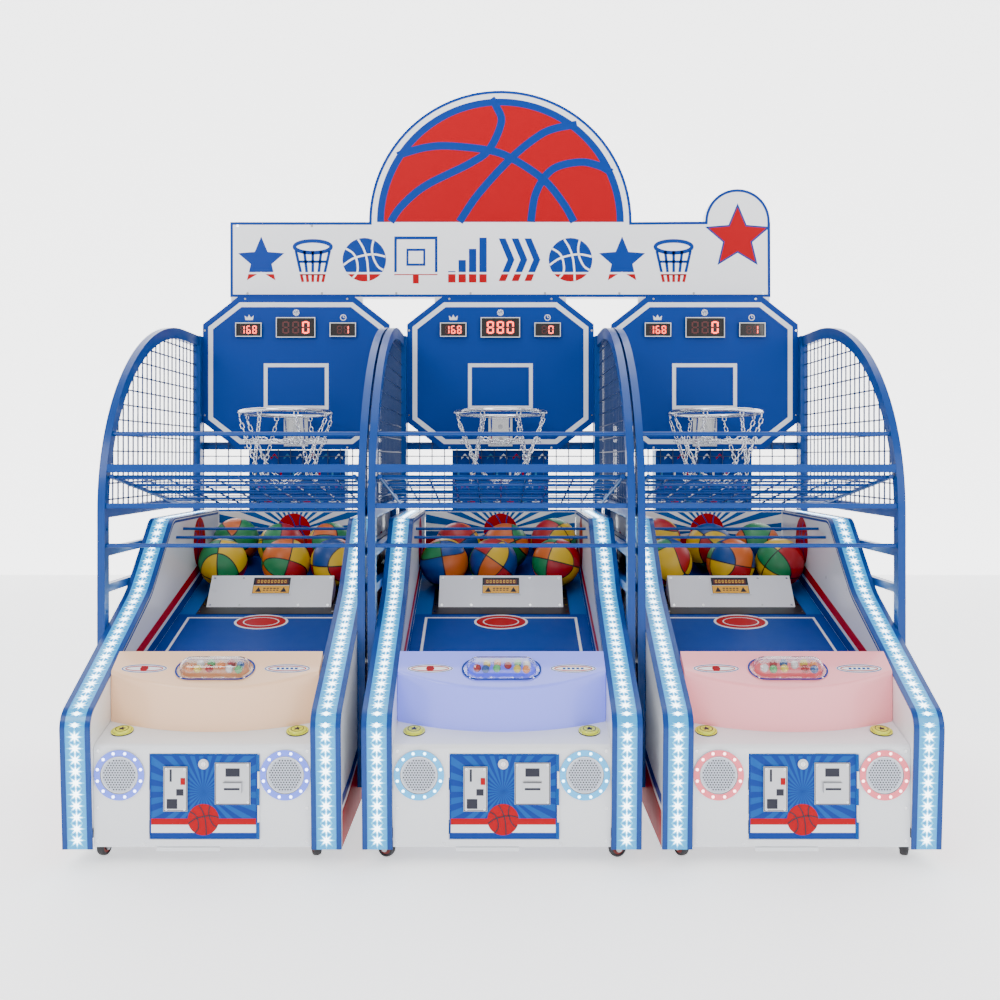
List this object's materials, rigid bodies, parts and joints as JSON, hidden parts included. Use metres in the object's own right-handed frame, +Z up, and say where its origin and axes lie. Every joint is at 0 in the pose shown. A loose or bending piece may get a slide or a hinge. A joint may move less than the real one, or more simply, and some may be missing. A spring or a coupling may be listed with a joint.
{
  "type": "basketball hoop machine",
  "caption": "Arcade basketball shooting machine: lit side boxes, wedge ball gates, caged lanes, octagonal backboards with chain nets, and one sign across the lanes",
  "frame": {"origin": "centre of the machine's footprint on the floor", "axes": "+X to the players' right, +Y from the players to the backboards, +Z up"},
  "size_m": [2.458, 1.5973, 2.5998],
  "materials": {
    "black_frame": "satin black powder coat",
    "printed_panel": "white printed panel with red and blue bands",
    "lit_strip": "frosted lens lit from within",
    "white_cabinet": "gloss white enamel",
    "speaker_ring": "translucent moulding lit by lamps",
    "button_black": "moulded black",
    "zinc_sheet": "zinc plated",
    "hood_plastic": "translucent moulding lit from below",
    "clear_dome": "clear moulded dome",
    "printed_deck": "blue printed laminate with a white line",
    "motor_grey": "grey enamel",
    "ball_vinyl": "pebbled vinyl in coloured panels",
    "cage_blue": "gloss blue powder coat",
    "black_wire": "dark blue coated wire",
    "board_print": "blue printed board with white lines",
    "display_black": "smoked window",
    "button_yellow": "lit yellow cap",
    "chain_steel": "bright plated chain",
    "sign_print": "white printed sign with red and blue",
    "box_print": "printed enamel",
    "bolt_chrome": "bright plated",
    "wheel_tyre": "grey-black rubber",
    "door_print": "printed enamel, blue with a ball",
    "coin_steel": "brushed plate",
    "button_red": "polished red",
    "gate_white": "white sheet"
  },
  "bodies": {
    "machine": {"base_frames": "black_frame", "side_panels": "printed_panel", "light_strip_lenses": "lit_strip", "light_strip_trims": "cage_blue", "front_cabinets": "white_cabinet", "control_hoods": "hood_plastic", "hood_windows": "clear_dome", "playfield_decks": "printed_deck", "back_walls": "printed_deck", "gate_frames": "black_frame", "gate_motors": "motor_grey", "speakers": "speaker_ring", "button_bezels": "button_black", "cage_frames": "cage_blue", "cage_meshes": "black_wire", "catch_ramps": "cage_blue", "backboards": "board_print", "score_displays": "display_black", "hoop_rims": "chain_steel", "chain_nets": "chain_steel", "marquee_sign": "sign_print", "marquee_frame": "white_cabinet", "control_boxes": "box_print", "cash_boxes": "zinc_sheet", "fasteners": "bolt_chrome"},
    "door_left": {"coin_door_left": "door_print", "coin_ticket_set_left": "coin_steel"},
    "lock_left": {"lock_cam_left": "bolt_chrome"},
    "reject_left": {"reject_button_left": "button_red"},
    "start_left_a": {"start_button_left_a": "button_yellow"},
    "start_left_b": {"start_button_left_b": "button_yellow"},
    "gate_left": {"ball_gate_left": "gate_white"},
    "door_middle": {"coin_door_middle": "door_print", "coin_ticket_set_middle": "coin_steel"},
    "lock_middle": {"lock_cam_middle": "bolt_chrome"},
    "reject_middle": {"reject_button_middle": "button_red"},
    "start_middle_a": {"start_button_middle_a": "button_yellow"},
    "start_middle_b": {"start_button_middle_b": "button_yellow"},
    "gate_middle": {"ball_gate_middle": "gate_white"},
    "door_right": {"coin_door_right": "door_print", "coin_ticket_set_right": "coin_steel"},
    "lock_right": {"lock_cam_right": "bolt_chrome"},
    "reject_right": {"reject_button_right": "button_red"},
    "start_right_a": {"start_button_right_a": "button_yellow"},
    "start_right_b": {"start_button_right_b": "button_yellow"},
    "gate_right": {"ball_gate_right": "gate_white"},
    "fork_1": {"caster_fork_1": "zinc_sheet"},
    "wheel_1": {"caster_wheel_1": "wheel_tyre"},
    "fork_2": {"caster_fork_2": "zinc_sheet"},
    "wheel_2": {"caster_wheel_2": "wheel_tyre"},
    "fork_3": {"caster_fork_3": "zinc_sheet"},
    "wheel_3": {"caster_wheel_3": "wheel_tyre"},
    "fork_4": {"caster_fork_4": "zinc_sheet"},
    "wheel_4": {"caster_wheel_4": "wheel_tyre"},
    "fork_5": {"caster_fork_5": "zinc_sheet"},
    "wheel_5": {"caster_wheel_5": "wheel_tyre"},
    "fork_6": {"caster_fork_6": "zinc_sheet"},
    "wheel_6": {"caster_wheel_6": "wheel_tyre"},
    "rear_wheel_set": {"rear_wheels": "wheel_tyre"},
    "ball_set": {"basketballs": "ball_vinyl"}
  },
  "joints": [
    {"name": "door_left_hinge", "type": "hinge", "parent": "machine", "child": "door_left", "pos_m": [-0.666, -0.7738, 0.192], "axis": [0, 0, 1], "range_deg": [0, 100]},
    {"name": "lock_left_turn", "type": "hinge", "parent": "door_left", "child": "lock_left", "pos_m": [-0.8165, -0.7553, 0.281], "axis": [0, -1, 0], "range_deg": [0, 90]},
    {"name": "reject_left_push", "type": "slide", "parent": "door_left", "child": "reject_left", "axis": [0, 1, 0], "range_m": [0, 0.003], "stiffness_N_per_m": 300},
    {"name": "start_left_a_press", "type": "slide", "parent": "machine", "child": "start_left_a", "axis": [0, -0.2412, 0.9705], "range_m": [-0.004, 0], "stiffness_N_per_m": 400},
    {"name": "start_left_b_press", "type": "slide", "parent": "machine", "child": "start_left_b", "axis": [0, -0.2412, 0.9705], "range_m": [-0.004, 0], "stiffness_N_per_m": 400},
    {"name": "gate_left_tilt", "type": "hinge", "parent": "machine", "child": "gate_left", "pos_m": [-0.82, 0.14162, 0.57786], "axis": [1, 0, 0], "range_deg": [-34, 0]},
    {"name": "door_middle_hinge", "type": "hinge", "parent": "machine", "child": "door_middle", "pos_m": [0.154, -0.7738, 0.192], "axis": [0, 0, 1], "range_deg": [0, 100]},
    {"name": "lock_middle_turn", "type": "hinge", "parent": "door_middle", "child": "lock_middle", "pos_m": [0.0035, -0.7553, 0.281], "axis": [0, -1, 0], "range_deg": [0, 90]},
    {"name": "reject_middle_push", "type": "slide", "parent": "door_middle", "child": "reject_middle", "axis": [0, 1, 0], "range_m": [0, 0.003], "stiffness_N_per_m": 300},
    {"name": "start_middle_a_press", "type": "slide", "parent": "machine", "child": "start_middle_a", "axis": [0, -0.2412, 0.9705], "range_m": [-0.004, 0], "stiffness_N_per_m": 400},
    {"name": "start_middle_b_press", "type": "slide", "parent": "machine", "child": "start_middle_b", "axis": [0, -0.2412, 0.9705], "range_m": [-0.004, 0], "stiffness_N_per_m": 400},
    {"name": "gate_middle_tilt", "type": "hinge", "parent": "machine", "child": "gate_middle", "pos_m": [0, 0.14162, 0.57786], "axis": [1, 0, 0], "range_deg": [-34, 0]},
    {"name": "door_right_hinge", "type": "hinge", "parent": "machine", "child": "door_right", "pos_m": [0.974, -0.7738, 0.192], "axis": [0, 0, 1], "range_deg": [0, 100]},
    {"name": "lock_right_turn", "type": "hinge", "parent": "door_right", "child": "lock_right", "pos_m": [0.8235, -0.7553, 0.281], "axis": [0, -1, 0], "range_deg": [0, 90]},
    {"name": "reject_right_push", "type": "slide", "parent": "door_right", "child": "reject_right", "axis": [0, 1, 0], "range_m": [0, 0.003], "stiffness_N_per_m": 300},
    {"name": "start_right_a_press", "type": "slide", "parent": "machine", "child": "start_right_a", "axis": [0, -0.2412, 0.9705], "range_m": [-0.004, 0], "stiffness_N_per_m": 400},
    {"name": "start_right_b_press", "type": "slide", "parent": "machine", "child": "start_right_b", "axis": [0, -0.2412, 0.9705], "range_m": [-0.004, 0], "stiffness_N_per_m": 400},
    {"name": "gate_right_tilt", "type": "hinge", "parent": "machine", "child": "gate_right", "pos_m": [0.82, 0.14162, 0.57786], "axis": [1, 0, 0], "range_deg": [-34, 0]},
    {"name": "fork_1_swivel", "type": "hinge", "parent": "machine", "child": "fork_1", "pos_m": [-1.125, -0.6983, 0.071], "axis": [0, 0, 1], "continuous": true},
    {"name": "wheel_1_roll", "type": "hinge", "parent": "fork_1", "child": "wheel_1", "pos_m": [-1.11982, -0.67898, 0.025], "axis": [0.9659, -0.2588, 0], "continuous": true},
    {"name": "fork_2_swivel", "type": "hinge", "parent": "machine", "child": "fork_2", "pos_m": [-0.515, -0.6983, 0.071], "axis": [0, 0, 1], "continuous": true},
    {"name": "wheel_2_roll", "type": "hinge", "parent": "fork_2", "child": "wheel_2", "pos_m": [-0.52184, -0.67951, 0.025], "axis": [0.9397, 0.342, 0], "continuous": true},
    {"name": "fork_3_swivel", "type": "hinge", "parent": "machine", "child": "fork_3", "pos_m": [-0.305, -0.6983, 0.071], "axis": [0, 0, 1], "continuous": true},
    {"name": "wheel_3_roll", "type": "hinge", "parent": "fork_3", "child": "wheel_3", "pos_m": [-0.32313, -0.68985, 0.025], "axis": [0.4226, 0.9063, 0], "continuous": true},
    {"name": "fork_4_swivel", "type": "hinge", "parent": "machine", "child": "fork_4", "pos_m": [0.305, -0.6983, 0.071], "axis": [0, 0, 1], "continuous": true},
    {"name": "wheel_4_roll", "type": "hinge", "parent": "fork_4", "child": "wheel_4", "pos_m": [0.32379, -0.69146, 0.025], "axis": [0.342, -0.9397, 0], "continuous": true},
    {"name": "fork_5_swivel", "type": "hinge", "parent": "machine", "child": "fork_5", "pos_m": [0.515, -0.6983, 0.071], "axis": [0, 0, 1], "continuous": true},
    {"name": "wheel_5_roll", "type": "hinge", "parent": "fork_5", "child": "wheel_5", "pos_m": [0.505, -0.68098, 0.025], "axis": [0.866, 0.5, 0], "continuous": true},
    {"name": "fork_6_swivel", "type": "hinge", "parent": "machine", "child": "fork_6", "pos_m": [1.125, -0.6983, 0.071], "axis": [0, 0, 1], "continuous": true},
    {"name": "wheel_6_roll", "type": "hinge", "parent": "fork_6", "child": "wheel_6", "pos_m": [1.13345, -0.68017, 0.025], "axis": [0.9063, -0.4226, 0], "continuous": true},
    {"name": "rear_wheels_roll", "type": "hinge", "parent": "machine", "child": "rear_wheel_set", "pos_m": [0, 0.5537, 0.025], "axis": [1, 0, 0], "continuous": true},
    {"name": "balls_lift", "type": "slide", "parent": "machine", "child": "ball_set", "axis": [0, 0, 1], "range_m": [0, 0.08]}
  ]
}
